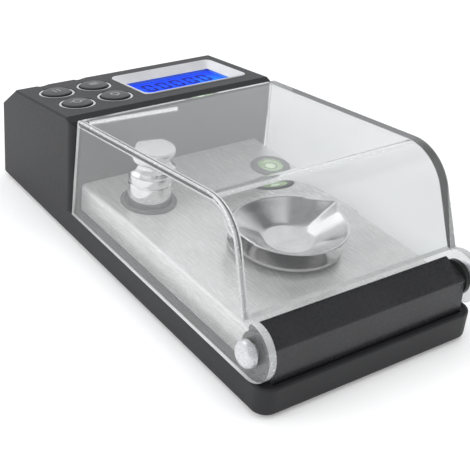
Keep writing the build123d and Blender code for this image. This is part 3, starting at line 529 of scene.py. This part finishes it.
# Calibration weight. Turned brass with a bright nickel plate: a body with a fine groove,
# a waist, and a flat knob to lift it by.
weight_low, weight_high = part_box("calibration_weight")
weight_height = (weight_high[2] - weight_low[2]) / mm
body_radius, groove_radius, waist_radius, knob_radius = 6.5, 6.15, 4.6, 6.1
foot = [(0, 0), (6.1, 0), (6.35, 0.1), (body_radius, 0.35)]
groove = [(body_radius, 7.4), (6.46, 7.55), (groove_radius, 7.75), (groove_radius, 8.05), (6.46, 8.25),
          (body_radius, 8.4)]
shoulder = [(body_radius, 10.65), (6.42, 10.9), (6.2, 11.1), (6.14, 11.13), (5.2, 11.7), (5.1, 11.77)]
waist = [(5.06, 11.87), (5.0, 12.35), (4.8, 12.6), (waist_radius, 12.95), (waist_radius, 14.25),
         (4.75, 14.55)]
knob = [(5.2, 14.9), (5.75, 15.15), (6.0, 15.3), (knob_radius, 15.55), (knob_radius, 16.45), (6.03, 16.67),
        (5.85, 16.79), (5.78, weight_height), (0, weight_height)]
mesh = spun(foot + groove + shoulder + waist + knob, 128)
weight_place = Vector((*middle("calibration_weight").xy, weight_low[2]))
bmesh.ops.translate(mesh, verts=mesh.verts, vec=weight_place)
polish = {"matt": 0.04, "blotch": 5, "line": (0.3, 0.3, 4), "depth": 0.0006}
weight = made("weight", mesh, metal("weight_nickel", (0.83, 0.83, 0.83), **polish))
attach(weight, "weight")
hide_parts("calibration_weight")

# Platform. A round steel tray turned on the lathe, on a stem that stands on the load
# cell's free end.
dress("load_platform", metal("tray_steel", (0.62, 0.61, 0.60), matt=0.16, line=(1, 1, 0.2), depth=0.001))

# Weighing pan. A thin stainless bowl spun to shape with a rolled lip, and one spout
# pinched out of its wall to pour powder from.
pan_foot, pan_sheet = 7.2, 0.5
wall_foot, wall_top = Vector((7.6, 0.12)), Vector((16.2, 5.5))
inner_top, inner_foot = Vector((15.6, 5.58)), Vector((7.4, 0.6))
rolled_lip = [(16.55, 5.6), (16.77, 5.72), (16.8, 5.88), (16.66, 5.98), (16.4, 6.0), (16.05, 5.9),
              (15.8, 5.72)]
spout_turn, spout_half, spout_reach, spout_start = math.radians(190), math.radians(17), 3.7, 0.6
spout_pinch, spout_flare = 1.6, 1.3


def wall(start, end, steps=12):
    """Points along a straight wall, close enough to push the spout out of it."""
    return [tuple(start.lerp(end, step / steps)) for step in range(steps)]


pan_outline = [(0, 0), (pan_foot, 0)] + wall(wall_foot, wall_top) + [tuple(wall_top)]
pan_outline += rolled_lip + wall(inner_top, inner_foot)
pan_outline += [(pan_foot, 0.56), (6.9, pan_sheet), (6.8, pan_sheet), (0, pan_sheet)]
pan_height = max(height for radius, height in pan_outline)
mesh = spun(pan_outline, 192)
for point in mesh.verts:
    aside = (math.atan2(point.co.y, point.co.x) - spout_turn + math.pi) % math.tau - math.pi
    if abs(aside) < spout_half:
        rise = (point.co.z / mm - spout_start) / (pan_height - spout_start)
        near = (1 - abs(aside) / spout_half) ** spout_pinch
        push = spout_reach * near * min(max(rise, 0), 1) ** spout_flare
        outward = Vector((point.co.x, point.co.y, 0)).normalized()
        point.co += outward * push * mm
pan_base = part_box("weighing_pan")[0][2]
bmesh.ops.translate(mesh, verts=mesh.verts, vec=Vector((*middle("load_platform").xy, pan_base)))
pan = made("pan", mesh, metal("pan_steel", (0.79, 0.785, 0.78), matt=0.17, blotch=6, depth=0.0006))
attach(pan, "pan")
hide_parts("weighing_pan")

# Hinge. A satin black bar behind the deck carries two domed silver pins, with a black
# ring between each end of the bar and the cover's lug.
dress("hinge_bar", moulded("bar_black", (0.028, 0.028, 0.030), grain=0.3, depth=0.005, matt=0.28))
dress("hinge_spacers", moulded("spacer_black", (0.012, 0.012, 0.012), grain=0.3, depth=0.005, matt=0.4))
dress("hinge_pin_left", metal("pin_left_silver", (0.65, 0.66, 0.69), matt=0.28, bare=0.6))
dress("hinge_pin_right", metal("pin_right_silver", (0.66, 0.67, 0.69), matt=0.26, bare=0.6))

# Draft cover. One clear acrylic moulding, polished on its faces; its corners and cut
# edges have a pale painted glow and show as pale double lines.


def painted_glow_edge(name, colour):
    """The thick edge of clear plastic, with a pale painted glow in place of the light that runs inside the
    sheet.
    """
    flow_size, flow_depth, matt, painted_glow_share = 3.0, 0.01, 0.22, 0.47
    finish, shader, place = new_finish(name)
    link = finish.node_tree.links.new
    flow = speckle(finish, drawn_out(finish, place, (1, 0.3, 1)), flow_size, 3.0)
    drift = spread(finish, flow, 0, 1)
    link(blended(finish, drift, tone(colour, 0.92), tone(colour, 1)), shader.inputs["Base Color"])
    haze = speckle(finish, place, 0.8, 3.0)
    link(spread(finish, haze, matt - 0.06, matt + 0.08), shader.inputs["Roughness"])
    link(raised(finish, (flow, flow_depth)), shader.inputs["Normal"])
    shader.inputs["IOR"].default_value = 1.49
    # The share that lets no light through is the pale painted glow.
    shader.inputs["Transmission Weight"].default_value = 1.0 - painted_glow_share
    return finish


inside_round, corner_turn = 0.35, -0.6
cheek_start, along_cheek, level_cut = 33.4 * mm, 0.985, 0.998
mesh = bmesh.new()
mesh.from_mesh(frame["nodes"]["draft_cover"].data)
bmesh.ops.remove_doubles(mesh, verts=mesh.verts, dist=0.001 * mm)
inside = [e for e in mesh.edges if len(e.link_faces) == 2 and e.calc_face_angle_signed() < corner_turn]
rounding = {"offset": inside_round * mm, "segments": 2, "profile": 0.5, "affect": "EDGES", "material": -1}
bmesh.ops.bevel(mesh, geom=inside, **rounding)
mesh.normal_update()
# The cut edges and the rims along the cheeks get the pale painted glow.
for face in mesh.faces:
    narrow = abs(face.calc_center_median().x) > cheek_start and abs(face.normal.x) < along_cheek
    if narrow or face.normal.z < -level_cut:
        face.material_index = 1
cover_finish = clear("cover_acrylic", (0.962, 0.968, 0.972), milky=0.034)
cover = made("cover", mesh, cover_finish, painted_glow_edge("cover_edge_painted_glow", (0.80, 0.81, 0.81)), sharp=20)
flat = cover.modifiers.new("flat_faces_stay_flat", "WEIGHTED_NORMAL")
flat.keep_sharp = True
flat.weight = 100
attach(cover, "cover")
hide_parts("draft_cover")

# Floor. A plain pale sheet under the object, which keeps its shadow and turns to white
# further away.
floor_half, near_glow, far_glow, glow_start, glow_end = 3, 0.2, 1.0, 0.2, 0.8
mesh = bmesh.new()
bmesh.ops.create_grid(mesh, x_segments=2, y_segments=2, size=floor_half)
floor_finish, shader, place = new_finish("studio_floor")
shader.inputs["Base Color"].default_value = (0.86, 0.86, 0.86, 1)
shader.inputs["Roughness"].default_value = 0.9
path = node(floor_finish, "LightPath").outputs
away = node(floor_finish, "VectorMath", {0: place}, operation="LENGTH").outputs["Value"]
glow = spread(floor_finish, away, near_glow, far_glow, glow_start, glow_end)
seen = node(floor_finish, "Math", {0: path["Is Camera Ray"], 1: glow}, operation="MULTIPLY")
floor_finish.node_tree.links.new(seen.outputs[0], shader.inputs["Emission Strength"])
shader.inputs["Emission Color"].default_value = (1, 1, 1, 1)
floor = made("studio_floor", mesh, floor_finish)

# Surroundings. Soft light from all round, with brighter cards and darker gaps for the
# metal and the glass to mirror. What the camera sees past the floor is white.
scene = bpy.context.scene
scene.view_settings.view_transform = "Standard"
world = bpy.data.worlds.new("studio")
world.use_nodes = True
scene.world = world
look = node(world, "TexCoord").outputs["Generated"]
all_round = 0.8


def card(direction, start, end, change):
    """Light added in one direction, from none at start to all of it at end."""
    toward = Vector(direction).normalized()
    near = node(world, "VectorMath", {0: look, 1: toward}, operation="DOT_PRODUCT").outputs["Value"]
    span = {"Value": near, "From Min": start, "From Max": end, "To Max": change}
    return node(world, "MapRange", span).outputs[0]


behind_camera = card((0.6, 0.75, 0.2), 0.1, 0.8, -0.3)
over_the_head = card((-0.54, -0.67, 0.5), 0.8, 0.96, 0.15)
high_on_the_left = card((-0.54, -0.18, 0.82), 0.88, 0.97, -0.6)
straight_above = card((0.1, -0.12, 1.0), 0.95, 0.985, -0.5)
streak_in_the_pan = card((0.22, -0.68, 0.70), 0.93, 0.965, 0.8)
left_of_the_hinge = card((-0.9, 0.35, 0.3), 0.7, 0.9, -0.4)
low_past_the_head = card((-0.5, -0.85, 0.1), 0.85, 0.97, -0.1)
bright = all_round
for share in (behind_camera, over_the_head, high_on_the_left, straight_above,
              streak_in_the_pan, left_of_the_hinge, low_past_the_head):
    bright = node(world, "Math", {0: bright, 1: share}, operation="ADD").outputs[0]
room = node(world, "Background", {"Color": (0.97, 0.98, 1.0, 1), "Strength": bright})
white = node(world, "Background", {"Color": (1, 1, 1, 1), "Strength": 1.0})
path = node(world, "LightPath").outputs
through = {0: path["Is Camera Ray"], 1: path["Is Transmission Ray"]}
either = node(world, "Math", through, operation="MAXIMUM")
unmirrored = node(world, "Math", {0: path["Glossy Depth"], 1: 0.5}, operation="LESS_THAN")
seen = node(world, "Math", {0: either.outputs[0], 1: unmirrored.outputs[0]}, operation="MULTIPLY")
mix = node(world, "MixShader", {0: seen.outputs[0], 1: room.outputs[0], 2: white.outputs[0]})
world.node_tree.links.new(mix.outputs[0], world.node_tree.nodes["World Output"].inputs["Surface"])

# Lamps. A large soft one overhead, a smaller one on the side of the keys, and a narrow
# strip that the cover's top mirrors as a white line.


def area_lamp(name, width, height, watts, place, aim=(0, 0, 0), roll=0):
    """A flat lamp at a place, turned to shine at the aim."""
    light = bpy.data.lights.new(name, "AREA")
    light.shape = "RECTANGLE"
    light.size = width
    light.size_y = height
    light.energy = watts
    lamp = bpy.data.objects.new(name, light)
    facing = (Vector(place) - Vector(aim)).to_track_quat("Z", "Y").to_matrix().to_4x4()
    lamp.matrix_world = Matrix.Translation(place) @ facing @ Matrix.Rotation(math.radians(roll), 4, "Z")
    scene.collection.objects.link(lamp)
    return lamp


overhead = area_lamp("overhead", 1.4, 1.4, 6.0, (-0.25, 0.15, 0.9))
side = area_lamp("side", 0.8, 0.8, 6.5, (0.9, -0.1, 0.35))
for lamp in (overhead, side):
    lamp.visible_glossy = False
    lamp.visible_transmission = False
area_lamp("strip", 0.1, 0.0042, 0.0021, (-0.412, -0.7875, 0.2198), aim=(0.02, -0.02, 0.042), roll=4)

# Camera. It stands where the photograph was taken from, behind the hinge and to the side
# of the keys.
camera_place = (0.17583, 0.228565, 0.17928)
camera_heading, camera_tilt, camera_roll = 141.332, 58.935, 5.985
lens = bpy.data.cameras.new("camera")
lens.sensor_width = 36
lens.lens = 82.81
lens.clip_start = 0.01
camera = bpy.data.objects.new("camera", lens)
heading = Matrix.Rotation(math.radians(camera_heading), 4, "Z")
tilt = Matrix.Rotation(math.radians(camera_tilt), 4, "X")
roll = Matrix.Rotation(math.radians(camera_roll), 4, "Z")
camera.matrix_world = Matrix.Translation(camera_place) @ heading @ tilt @ roll
scene.collection.objects.link(camera)
scene.camera = camera
